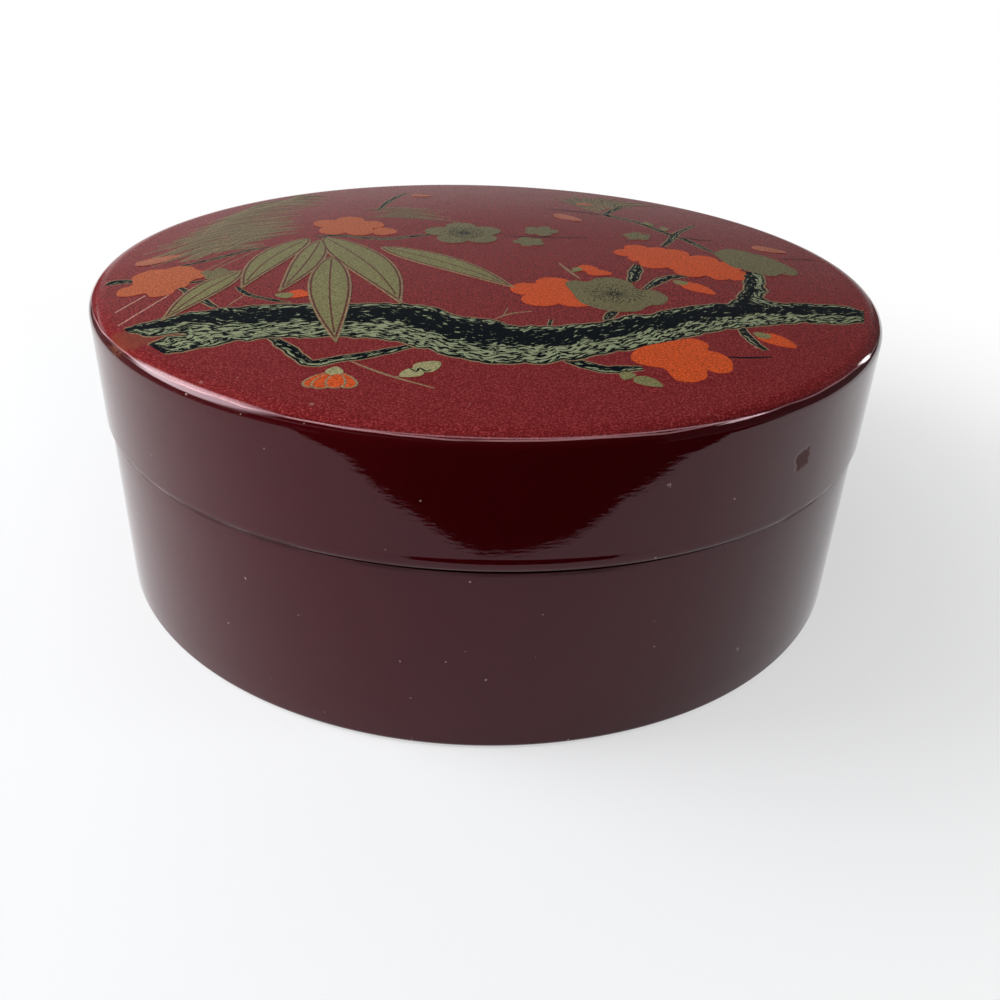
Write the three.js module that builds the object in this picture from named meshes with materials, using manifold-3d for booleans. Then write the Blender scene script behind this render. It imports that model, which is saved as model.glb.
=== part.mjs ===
// Round lacquered trinket box with a lift-off lid, built as bent-wood boxes are built.
// Two thin strips are bent into hoops and lapped: one is the lid's wall, the other the base's wall.
// A board closes each hoop, held by glue and by small wooden pegs driven in through the wall.
// A third hoop inside the base stands proud of the rim: it is the neck that guides the lid.
// Millimetres, +Z up. The origin is the centre of the foot, and -Y is the front.

import * as THREE from "three";
import { mergeVertices } from "three/addons/utils/BufferGeometryUtils.js";
import Module from "manifold-3d";

const wasm = await Module();
wasm.setup();

// Overall sizes
const LID_DIAMETER = 127;
const TOTAL_HEIGHT = 48;
const SEAM_HEIGHT = 29; // from the table to the line where lid and base meet

// Walls and boards
const LID_HOOP_WALL = 3;
const BASE_HOOP_WALL = 2.7;
const NECK_WALL = 2;
const NECK_RISE = 6; // how far the neck stands above the seam
const LID_BOARD_RIM = 2.7; // the board's thickness where it lies on the hoop
const LID_BOARD_PLUG = 3.4; // the part of the board that drops inside the hoop
const FLOOR_BOARD = 4;
const FOOT_RECESS = 1.5; // the floor board's height above the table

// Edges
const TOP_ROLL_WIDTH = 2.8; // the lid's soft upper edge, across and down
const TOP_ROLL_DROP = 2.2;
const SEAM_ROLL_WIDTH = 0.5; // the lid's lower edge eases in to meet the base
const SEAM_ROLL_RISE = 1.5;
const BASE_RIM_ROUND = 0.3;
const FOOT_ROUND = 0.8;
const NECK_ROUND = 0.7;
const LEAD_IN = 0.5; // eases the lid's inner edge onto the neck
const PLUG_CHAMFER = 0.5;
const FLOOR_CHAMFER = 0.4;

// Fits
const NECK_CLEARANCE = 0.3; // between the neck and the lid's wall, on the radius
const SEAM_GAP = 0.05; // the closed lid rests on the lacquer of the base's rim
const GLUE_LINE = 0.1; // between pieces that are glued together
const LAP_GLUE_LINE = 0.2; // between the two skived ends of a hoop

// Lapped joints of the hoops
const LAP_LENGTH = 30; // along the wall
const LID_LAP_ANGLE = -48; // degrees from +X, where the outer end of the lap shows
const BASE_LAP_ANGLE = 132;
const NECK_LAP_ANGLE = 45;

// Wooden pegs
const PEG_DIAMETER = 1.6;
const PEG_DEPTH = 4; // into the board, past the wall
const PEG_SINK = 0.2; // the outer end is cut just below the wall's face
const LID_PEG_COUNT = 6;
const FLOOR_PEG_COUNT = 6;

// Facets
const ROUND_SEGMENTS = 72;
const ROLL_STEPS = 6;
const EDGE_STEPS = 3;
const LAP_STEPS = 8;
const PEG_SIDES = 10;
const CUT_MARGIN = 1; // how far a cutting tool reaches past what it cuts

// Sizes that follow
const lidRadius = LID_DIAMETER / 2;
const lidInnerRadius = lidRadius - LID_HOOP_WALL;
const neckRadius = lidInnerRadius - NECK_CLEARANCE;
const neckInnerRadius = neckRadius - NECK_WALL;
const baseInnerRadius = neckRadius + GLUE_LINE;
const baseRadius = baseInnerRadius + BASE_HOOP_WALL;
const lidHoopTop = TOTAL_HEIGHT - LID_BOARD_RIM - GLUE_LINE;
const lidHoopFoot = SEAM_HEIGHT + SEAM_GAP;
const plugUnderside = TOTAL_HEIGHT - LID_BOARD_RIM - LID_BOARD_PLUG;
const plugRadius = lidInnerRadius - GLUE_LINE;
const floorTop = FOOT_RECESS + FLOOR_BOARD;
const floorRadius = baseInnerRadius - GLUE_LINE;
const lidPegHeight = plugUnderside + LID_BOARD_PLUG / 2;
const floorPegHeight = FOOT_RECESS + FLOOR_BOARD / 2;

// Finishes
const redLacquer = new THREE.MeshStandardMaterial({ color: 0x7a1820, roughness: 0.12 });
const satinRedLacquer = new THREE.MeshStandardMaterial({ color: 0x82202a, roughness: 0.4 });
const blackLacquer = new THREE.MeshStandardMaterial({ color: 0x14100f, roughness: 0.2 });
const pegWood = new THREE.MeshStandardMaterial({ color: 0xb08a5a, roughness: 0.8 });

// A closed geometry as a solid that can be cut.
function solidOf(geometry) {
  const bare = geometry.clone();
  bare.deleteAttribute("normal");
  bare.deleteAttribute("uv");
  const merged = mergeVertices(bare, 1e-4);
  return new wasm.Manifold(
    new wasm.Mesh({
      numProp: 3,
      vertProperties: new Float32Array(merged.attributes.position.array),
      triVerts: new Uint32Array(merged.index.array),
    }),
  );
}

// A solid as a geometry that a mesh can hold.
function geometryOf(solid) {
  const { vertProperties, triVerts } = solid.getMesh();
  const geometry = new THREE.BufferGeometry();
  geometry.setAttribute("position", new THREE.BufferAttribute(vertProperties, 3));
  geometry.setIndex(new THREE.BufferAttribute(triVerts, 1));
  geometry.computeVertexNormals();
  return geometry;
}

// A profile of [radius, height] points, turned about +Z.
function turned(points) {
  const profile = points.map(([radius, height]) => new THREE.Vector2(radius, height));
  return new THREE.LatheGeometry(profile, ROUND_SEGMENTS).rotateX(Math.PI / 2);
}

// How a corner is eased: to a quarter of an ellipse, or to a chamfer if it has one step.
function eased(width, height, steps) {
  return { width, height, steps };
}

// One corner of a profile, from the quarter turn's first direction on. A sharp corner is one point.
function corner(radius, height, first, ease) {
  if (!ease) return [[radius, height]];
  const middle = THREE.MathUtils.degToRad(first + 45);
  const centreRadius = radius - Math.sign(Math.cos(middle)) * ease.width;
  const centreHeight = height - Math.sign(Math.sin(middle)) * ease.height;
  return Array.from({ length: ease.steps + 1 }, (_, step) => {
    const angle = THREE.MathUtils.degToRad(first + (90 * step) / ease.steps);
    return [centreRadius + ease.width * Math.cos(angle), centreHeight + ease.height * Math.sin(angle)];
  });
}

// The closed profile of a hoop. Its corners are sharp where no ease is given.
function hoopProfile({ inner, outer, foot, top, outerFoot, outerTop, innerTop, innerFoot }) {
  const points = [
    ...corner(outer, foot, -90, outerFoot),
    ...corner(outer, top, 0, outerTop),
    ...corner(inner, top, 90, innerTop),
    ...corner(inner, foot, 180, innerFoot),
  ];
  return [...points, points[0]];
}

// The glue line of a lapped hoop: it slants through the wall from the outer face to the inner one.
function lapSlit({ inner, outer, foot, top }, degrees) {
  const wall = outer - inner;
  const reach = LAP_LENGTH / outer;
  const start = THREE.MathUtils.degToRad(degrees);
  const overrun = CUT_MARGIN / wall;
  const line = (offset) =>
    Array.from({ length: LAP_STEPS + 1 }, (_, step) => {
      const share = -overrun + ((1 + 2 * overrun) * step) / LAP_STEPS;
      const radius = outer - share * wall + offset;
      const angle = start + share * reach;
      return new THREE.Vector2(radius * Math.cos(angle), radius * Math.sin(angle));
    });
  const outline = [...line(LAP_GLUE_LINE / 2), ...line(-LAP_GLUE_LINE / 2).reverse()];
  const depth = top - foot + 2 * CUT_MARGIN;
  const slit = new THREE.ExtrudeGeometry(new THREE.Shape(outline), { depth, bevelEnabled: false });
  return solidOf(slit.translate(0, 0, foot - CUT_MARGIN));
}

// A round bar that lies along a radius of the box.
function radialBar(diameter, innerEnd, outerEnd, height, degrees) {
  const bar = new THREE.CylinderGeometry(diameter / 2, diameter / 2, outerEnd - innerEnd, PEG_SIDES);
  return bar
    .rotateZ(Math.PI / 2)
    .translate((innerEnd + outerEnd) / 2, 0, height)
    .rotateZ(THREE.MathUtils.degToRad(degrees));
}

// Where the pegs stand round a hoop: evenly spaced, with the first through the middle of the lap.
function pegAngles(count, lapAngle, outerRadius) {
  const first = lapAngle + THREE.MathUtils.radToDeg(LAP_LENGTH / outerRadius) / 2;
  return Array.from({ length: count }, (_, index) => first + (360 * index) / count);
}

// A hoop or a board, less the holes that its pegs are driven into.
function drilled(solid, wallRadius, boardRadius, height, angles) {
  return angles.reduce((left, degrees) => {
    const innerEnd = boardRadius - PEG_DEPTH - GLUE_LINE;
    const hole = radialBar(PEG_DIAMETER + 2 * GLUE_LINE, innerEnd, wallRadius + CUT_MARGIN, height, degrees);
    return left.subtract(solidOf(hole));
  }, solid);
}

function named(name, geometry, material) {
  const mesh = new THREE.Mesh(geometry, material);
  mesh.name = name;
  return mesh;
}

function pegs(prefix, angles, wallRadius, boardRadius, height) {
  return angles.map((degrees, index) => {
    const bar = radialBar(PEG_DIAMETER, boardRadius - PEG_DEPTH, wallRadius - PEG_SINK, height, degrees);
    return named(`${prefix}_${index + 1}`, bar, pegWood);
  });
}

const lidPegAngles = pegAngles(LID_PEG_COUNT, LID_LAP_ANGLE, lidRadius);
const floorPegAngles = pegAngles(FLOOR_PEG_COUNT, BASE_LAP_ANGLE, baseRadius);

// The lid's top board: a stepped disc whose rim lies on the hoop and whose plug fills it.
function lidBoard() {
  const shoulder = TOTAL_HEIGHT - LID_BOARD_RIM;
  const profile = [
    [0, plugUnderside],
    [plugRadius - PLUG_CHAMFER, plugUnderside],
    [plugRadius, plugUnderside + PLUG_CHAMFER],
    [plugRadius, shoulder],
    [lidRadius, shoulder],
    ...corner(lidRadius, TOTAL_HEIGHT, 0, eased(TOP_ROLL_WIDTH, TOP_ROLL_DROP, ROLL_STEPS)),
    [0, TOTAL_HEIGHT],
  ];
  return drilled(solidOf(turned(profile)), lidRadius, plugRadius, lidPegHeight, lidPegAngles);
}

// The lid's wall.
function lidHoop() {
  const hoop = {
    inner: lidInnerRadius,
    outer: lidRadius,
    foot: lidHoopFoot,
    top: lidHoopTop,
    outerFoot: eased(SEAM_ROLL_WIDTH, SEAM_ROLL_RISE, EDGE_STEPS),
    innerFoot: eased(LEAD_IN, LEAD_IN, 1),
  };
  const lapped = solidOf(turned(hoopProfile(hoop))).subtract(lapSlit(hoop, LID_LAP_ANGLE));
  return drilled(lapped, lidRadius, plugRadius, lidPegHeight, lidPegAngles);
}

// The base's wall, whose lower edge is the foot.
function baseHoop() {
  const hoop = {
    inner: baseInnerRadius,
    outer: baseRadius,
    foot: 0,
    top: SEAM_HEIGHT,
    outerFoot: eased(FOOT_ROUND, FOOT_ROUND, EDGE_STEPS),
    outerTop: eased(BASE_RIM_ROUND, BASE_RIM_ROUND, EDGE_STEPS),
  };
  const lapped = solidOf(turned(hoopProfile(hoop))).subtract(lapSlit(hoop, BASE_LAP_ANGLE));
  return drilled(lapped, baseRadius, floorRadius, floorPegHeight, floorPegAngles);
}

// The floor board, let into the base's wall a little above the table.
function floorBoard() {
  const profile = [
    [0, FOOT_RECESS],
    [floorRadius - FLOOR_CHAMFER, FOOT_RECESS],
    [floorRadius, FOOT_RECESS + FLOOR_CHAMFER],
    [floorRadius, floorTop],
    [0, floorTop],
  ];
  return drilled(solidOf(turned(profile)), baseRadius, floorRadius, floorPegHeight, floorPegAngles);
}

// The neck: it stands on the floor board against the base's wall, and its rounded lip enters the lid.
function neckHoop() {
  const lip = eased(NECK_ROUND, NECK_ROUND, EDGE_STEPS);
  const hoop = {
    inner: neckInnerRadius,
    outer: neckRadius,
    foot: floorTop + GLUE_LINE,
    top: SEAM_HEIGHT + NECK_RISE,
    outerTop: lip,
    innerTop: lip,
  };
  return solidOf(turned(hoopProfile(hoop))).subtract(lapSlit(hoop, NECK_LAP_ANGLE));
}

const lid = new THREE.Group();
lid.add(
  named("lid_board", geometryOf(lidBoard()), satinRedLacquer),
  named("lid_hoop", geometryOf(lidHoop()), redLacquer),
  ...pegs("lid_peg", lidPegAngles, lidRadius, plugRadius, lidPegHeight),
);

const base = new THREE.Group();
base.add(
  named("base_hoop", geometryOf(baseHoop()), redLacquer),
  named("floor_board", geometryOf(floorBoard()), blackLacquer),
  named("neck_hoop", geometryOf(neckHoop()), blackLacquer),
  ...pegs("floor_peg", floorPegAngles, baseRadius, floorRadius, floorPegHeight),
);

const box = new THREE.Group();
box.add(base, lid);

export default box;
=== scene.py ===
"""Dresses the round trinket box: its red and black lacquer, the painted lid and a plain studio around it.

Sizes are in metres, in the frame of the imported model. Its origin is the centre of the foot, +Z is up and
-Y is the front.
"""

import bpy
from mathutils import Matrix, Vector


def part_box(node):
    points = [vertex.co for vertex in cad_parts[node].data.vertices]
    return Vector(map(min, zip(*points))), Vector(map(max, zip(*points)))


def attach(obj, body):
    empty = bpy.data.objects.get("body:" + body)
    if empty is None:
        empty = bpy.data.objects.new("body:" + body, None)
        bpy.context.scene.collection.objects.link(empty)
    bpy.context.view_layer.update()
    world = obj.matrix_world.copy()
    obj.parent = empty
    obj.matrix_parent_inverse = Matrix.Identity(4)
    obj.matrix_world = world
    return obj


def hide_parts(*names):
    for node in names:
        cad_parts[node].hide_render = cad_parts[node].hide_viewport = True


bl_info = {
    "name": "Lacquered Trinket Box",
    "version": (1, 0, 0),
    "blender": (4, 5, 0),
    "location": "View3D > Sidebar > Trinket Box",
    "description": "Builds the lacquer skins, the painted lid and the studio of a round trinket box",
    "category": "Add Mesh",
}

from math import ceil, cos, degrees, pi, radians, sin, sqrt

import bmesh
import bpy
from bpy.props import FloatProperty, FloatVectorProperty, PointerProperty
from mathutils import Matrix, Quaternion, Vector, noise

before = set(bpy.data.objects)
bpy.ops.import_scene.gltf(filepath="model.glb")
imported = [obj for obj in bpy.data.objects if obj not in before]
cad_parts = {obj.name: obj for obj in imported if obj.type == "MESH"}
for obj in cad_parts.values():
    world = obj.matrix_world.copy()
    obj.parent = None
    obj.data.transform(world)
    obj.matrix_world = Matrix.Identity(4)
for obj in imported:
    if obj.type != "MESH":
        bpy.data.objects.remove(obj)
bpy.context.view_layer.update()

MM = 0.001

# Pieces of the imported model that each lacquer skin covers
LID_PEGS = [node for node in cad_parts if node.startswith("lid_peg")]
FLOOR_PEGS = [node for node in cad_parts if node.startswith("floor_peg")]

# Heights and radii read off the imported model
LID_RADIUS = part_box("lid_hoop")[1].x
LID_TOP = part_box("lid_board")[1].z
LID_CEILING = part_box("lid_board")[0].z
LID_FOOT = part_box("lid_hoop")[0].z
BASE_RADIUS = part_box("base_hoop")[1].x
BASE_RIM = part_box("base_hoop")[1].z
FLOOR_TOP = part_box("floor_board")[1].z
FLOOR_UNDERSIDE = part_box("floor_board")[0].z
NECK_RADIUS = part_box("neck_hoop")[1].x
NECK_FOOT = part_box("neck_hoop")[0].z
NECK_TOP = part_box("neck_hoop")[1].z

# Fineness of the turned skins
ROUND_SEGMENTS = 288
EDGE_STEPS = 10
WALL_STEPS = 8
LIP_ROW = 0.2 * MM  # a narrow first row on the lid's lower edge keeps its shading flat
SHARP_ANGLE = radians(40)  # edges that turn by more stay sharp

# Above SWELL_TOP the lid's wall is plain, and from SWELL_FOOT down it is swollen. Both are heights above its
# lower edge. Rows of points at SWELL_BLEND beyond them keep that bend narrow
SWELL_TOP = 1.75 * MM
SWELL_FOOT = 1.4 * MM
SWELL_BLEND = 0.2 * MM

# How far handwork leaves a true circle: slow waves, and a ridge over the lid's lapped ends
WAVE_DEPTH = 0.05 * MM
RIDGE_DEPTH = 0.05 * MM

# Where the lid's ends are lapped and where its lower edge has warped, in degrees from +X
LAP_ANGLE = -44.0
LAP_WIDTH = 7.0
GAP_ANGLE = -84.0
GAP_WIDTH = 42.0
GAP_FADE = 2.2 * MM  # height above the lid's lower edge up to which it has warped

# Millimetres by which the seam gapes all round, at the front and by the lap
GAP_ROUND = 0.04
GAP_FRONT = 0.3
GAP_LAP = 0.2

# Marks of age on the lid, two with painted highlight and shade in them, and angles in degrees from +X
WORN_RIM_ANGLE = -142.0
WORN_RIM_RADIUS = 4.4 * MM
WORN_RIM_IN = 2.5 * MM  # from the lid's wall in to the middle of the worn patch
WORN_RIM_UP = 1.5 * MM  # from the lid's top up to it
# The pale line along the lid's edge is partly wear and partly a painted highlight where the top lamp reflects
WEAR_AND_HIGHLIGHT_DROP = 0.6 * MM  # from the lid's top down to the pale line
WEAR_AND_HIGHLIGHT_HALF = 0.07 * MM  # half that line's height
WEAR_AND_HIGHLIGHT_SWAY = 0.5 * MM  # how far that line wanders
# Dirt and painted shade darken the lacquer within this reach of the seam
DIRT_AND_SHADE_REACH = 0.6 * MM  # above and below the seam
CHIP_ANGLE = -48.4
CHIP_HEIGHT = 38.2 * MM
CHIP_SPOTS = (  # degrees to the right, height and radius of the flakes that came off
    (0.4, 0.65 * MM, 1.3 * MM),
    (-0.5, 0.1 * MM, 1.4 * MM),
    (0.4, -0.4 * MM, 1.3 * MM),
    (-0.45, -0.8 * MM, 1.1 * MM),
)
DUST_FRAY = 0.6 * MM  # how far the edges of the specks stray
DUST_SPECKS = (  # spacing and reach in millimetres, and the share of places left clean
    (3.4, 0.19, 0.55),
    (8, 0.36, 0.4),
)

# Depths below the lid's top where its lighter red starts, where its satin starts and where that is full
RED_DEPTH = 0.95 * MM
RUBBED_DEPTH = 0.5 * MM
SATIN_DEPTH = 0.15 * MM

# Roughness of the finishes, and how they reflect
POLISHED = 0.03
SATIN = 0.27
GRIMY = 0.55
CHIPPED = 0.6
LACQUER_GLOSS = {"IOR": 1.45, "Specular Tint": (1, 0.66, 0.76, 1)}  # its reflections lean to red
INK_IOR = 1.4

# Distances from the box's axis between which the floor that the eye sees turns plain white
WHITE_START = 60 * MM
WHITE_END = 200 * MM


def linear(code):
    """Turns an sRGB hex colour into the linear colour that shaders take."""
    channels = [int(code[i : i + 2], 16) / 255 for i in (0, 2, 4)]
    return tuple(c / 12.92 if c <= 0.04045 else ((c + 0.055) / 1.055) ** 2.4 for c in channels)


def amount(name, description, default, **limits):
    """A number that a user can change."""
    return FloatProperty(name=name, description=description, default=default, **limits)


def size(name, description, default):
    """A length that a user can change."""
    return amount(name, description, default, min=0, unit="LENGTH", precision=5)


def wattage(name, description, default):
    """A lamp's power that a user can change."""
    return amount(name, description, default, min=0, unit="POWER")


def rotation(name, description, default):
    """An angle in degrees that a user can change."""
    return amount(name, description, radians(default), subtype="ANGLE")


def colour(name, description, code):
    """A colour that a user can change."""
    return FloatVectorProperty(
        name=name, description=description, default=linear(code), min=0, max=1, size=3, subtype="COLOR"
    )


class TrinketSizes(bpy.types.PropertyGroup):
    """Sizes of the lacquer skins and of the paint."""

    roll_width: size("Lid edge width", "How far the lid's soft upper edge reaches in", 2.8 * MM)
    roll_drop: size("Lid edge drop", "How far the lid's soft upper edge reaches down", 2.2 * MM)
    seam_width: size("Seam ease", "How far the lid's lower edge eases in to the base", 0.4 * MM)
    seam_rise: size("Seam rise", "How high that ease starts above the seam", 0.9 * MM)
    swell: size("Lip swell", "How far the lacquer swells above the lid's lower edge", 0.065 * MM)
    lead_in: size("Lead-in", "Chamfer of the lid's inner edge", 0.5 * MM)
    lid_wall: size("Lid wall", "Thickness of the lid's wall", 3.0 * MM)
    base_wall: size("Base wall", "Thickness of the base's wall", 2.7 * MM)
    neck_wall: size("Neck wall", "Thickness of the neck", 2.0 * MM)
    neck_round: size("Neck lip", "Rounding of the neck's lip", 0.7 * MM)
    foot_round: size("Foot edge", "Rounding of the base's lower edge", 0.8 * MM)
    rim_round: size("Base rim edge", "Rounding of the base's upper edge", 0.08 * MM)
    paint: size("Paint layer", "Thickness of one layer of paint", 0.005 * MM)
    outline: size("Outline", "Width of the pale line round a painted shape", 0.3 * MM)


class TrinketColours(bpy.types.PropertyGroup):
    """Colours of the lacquers and of the paint."""

    wall: colour("Wall lacquer", "Deep red of the glossy walls", "42060A")
    top: colour("Top lacquer", "Red of the satin top", "792022")
    inside: colour("Inside lacquer", "Black of the inside and the underside", "120E0D")
    dust: colour("Dust", "Pale specks on the lacquer", "CCB4A6")
    # This pale line is partly wear and partly a painted highlight along the lid's edge
    worn_and_highlit_edge: colour("Worn edge", "Pale line that wear has left along the lid's edge", "D29AA0")
    wood: colour("Bare wood", "Wood that shows in the chip and on the worn edge", "5A3420")
    gold: colour("Gold powder", "Olive gold of the leaves", "7A764E")
    worn_gold: colour("Worn gold", "Duller gold of the plum blossoms", "6C6546")
    fresh_gold: colour("Fresh gold", "Lighter gold of the buds in front", "98946A")
    bark_gold: colour("Bark gold", "Greener gold of the branch", "8A9272")
    # A duller, paler vermilion for the blossoms behind and at the left, with a painted reflection sheen in it
    faded_vermilion: colour("Faded vermilion", "Duller orange of the blossoms behind", "B05934")
    # The buds behind take vermilion made pinker and paler as a painted reflection sheen
    rose: colour("Rose vermilion", "Pinkish orange of the buds behind", "A8644C")
    vermilion: colour("Vermilion", "Orange red of plum blossoms and buds", "C64E20")
    black: colour("Painted black", "Blue black of the bark", "050C12")
    light: colour("Light line", "Pinkish tan of the lightest lines", "BC9684")
    pale: colour("Pale line", "Tan of the fine outlines", "8A7658")
    brown: colour("Brown line", "Red brown of the leaves' inner lines", "5E3028")
    pine: colour("Pine", "Dull olive of the needles", "62573D")


class TrinketStudio(bpy.types.PropertyGroup):
    """Camera, lamps and floor."""

    camera_back: size("Camera distance", "How far the camera stands in front of the box's axis", 164.8 * MM)
    camera_height: size("Camera height", "How high the camera stands above the table", 98.2 * MM)
    lens: amount("Lens", "Focal length on a 36 mm sensor", 35.95, min=1, unit="CAMERA")
    camera_pitch: rotation("Pitch", "How far the camera looks down", 29.98)
    camera_yaw: rotation("Yaw", "How far the camera turns to the right", 1.15)
    camera_roll: rotation("Roll", "How far the camera tilts to one side", 2.4)
    key_power: wattage("Key", "Large soft lamp at the left", 3.7)
    top_power: wattage("Top", "Long soft lamp overhead", 0.5)
    side_power: wattage("Side", "Small soft lamp at the right", 0.26)
    far_power: wattage("Far", "Narrow soft lamp behind, at the right", 0.34)
    room: amount("Room", "Even light from all round", 0.1, min=0)
    floor: colour("Floor", "Pale paper that the box stands on", "F0F2F6")
    floor_white: amount("Floor white", "How far the floor by the box is lifted to white", 0.55, min=0, max=1)


def settings():
    """The sizes, the colours and the studio of the scene."""
    scene = bpy.context.scene
    return scene.trinket_sizes, scene.trinket_colours, scene.trinket_studio


# Nodes


def add_node(tree, kind, inputs=None, **values):
    """Adds a node with its settings. An input takes a value, or the socket that feeds it."""
    node = tree.nodes.new(kind)
    for name, value in values.items():
        setattr(node, name, value)
    for key, value in (inputs or {}).items():
        if isinstance(value, bpy.types.NodeSocket):
            tree.links.new(value, node.inputs[key])
        else:
            node.inputs[key].default_value = value
    return node


def reckon(tree, operation, *values, **options):
    """The result of one operation on numbers or sockets."""
    inputs = dict(enumerate(values))
    return add_node(tree, "ShaderNodeMath", inputs, operation=operation, **options).outputs[0]


def ramp(tree, value, start, end, low=0, high=1, smooth=False):
    """Carries a value that runs from a start to an end over to the span from low to high."""
    spans = {"Value": value, "From Min": start, "From Max": end, "To Min": low, "To Max": high}
    kind = "SMOOTHSTEP" if smooth else "LINEAR"
    return add_node(tree, "ShaderNodeMapRange", spans, interpolation_type=kind).outputs[0]


def blend(tree, share, first, second):
    """A mix of two colours."""
    return add_node(tree, "ShaderNodeMix", {0: share, 6: first, 7: second}, data_type="RGBA").outputs[2]


def between(tree, share, first, second):
    """A mix of two numbers."""
    return add_node(tree, "ShaderNodeMix", {0: share, 2: first, 3: second}).outputs[0]


def vectors(tree, operation, *values):
    """The outputs of one operation on vectors."""
    return add_node(tree, "ShaderNodeVectorMath", dict(enumerate(values)), operation=operation).outputs


def mottle(tree, place, scale, detail, **options):
    """A cloudy pattern: its value and its colour."""
    pattern = {"Vector": place, "Scale": scale, "Detail": detail, **options}
    return add_node(tree, "ShaderNodeTexNoise", pattern).outputs


def relief(tree, height, depth, over=None, **options):
    """Bumps of a given depth, which may lie over others."""
    bumps = {"Height": height, "Distance": depth}
    if over is not None:
        bumps["Normal"] = over
    return add_node(tree, "ShaderNodeBump", bumps, **options).outputs[0]


def on_object(tree):
    """Places on the object itself."""
    return add_node(tree, "ShaderNodeTexCoord").outputs["Object"]


def new_material(name):
    """An empty node material, with its tree."""
    material = bpy.data.materials.new(name)
    material.use_nodes = True
    material.node_tree.nodes.clear()
    return material, material.node_tree


def surface(tree, inputs):
    """Ends a material in one physical surface shader."""
    shader = add_node(tree, "ShaderNodeBsdfPrincipled", inputs)
    add_node(tree, "ShaderNodeOutputMaterial", {"Surface": shader.outputs[0]})


def shared(name, make, *values):
    """A material that more than one piece wears, made once."""
    return bpy.data.materials.get(name) or make(*values)


def per_metre(millimetres):
    """The scale of a pattern whose features are that wide."""
    return 1 / (millimetres * MM)


def rgba(channels):
    """A colour as a shader's socket takes it."""
    return (*channels, 1)


def shaded(channels, share):
    """A colour made darker or lighter."""
    return rgba(share * channel for channel in channels)


# Materials


def on_rim(angle, radius, height):
    """A point at an angle in degrees round the box's axis."""
    return (radius * cos(radians(angle)), radius * sin(radians(angle)), height)


def worn_spot(tree, place, centre, radius, ragged, soft):
    """A mask that is 1 within a ragged spot round a point of the lid."""
    reach = vectors(tree, "DISTANCE", place, centre)["Value"]
    grain = mottle(tree, place, per_metre(0.9), 2)[0]
    edge = reckon(tree, "MULTIPLY_ADD", grain, ragged, reach)
    outer = radius + ragged / 2
    return ramp(tree, edge, outer, outer - soft, smooth=True)


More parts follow.
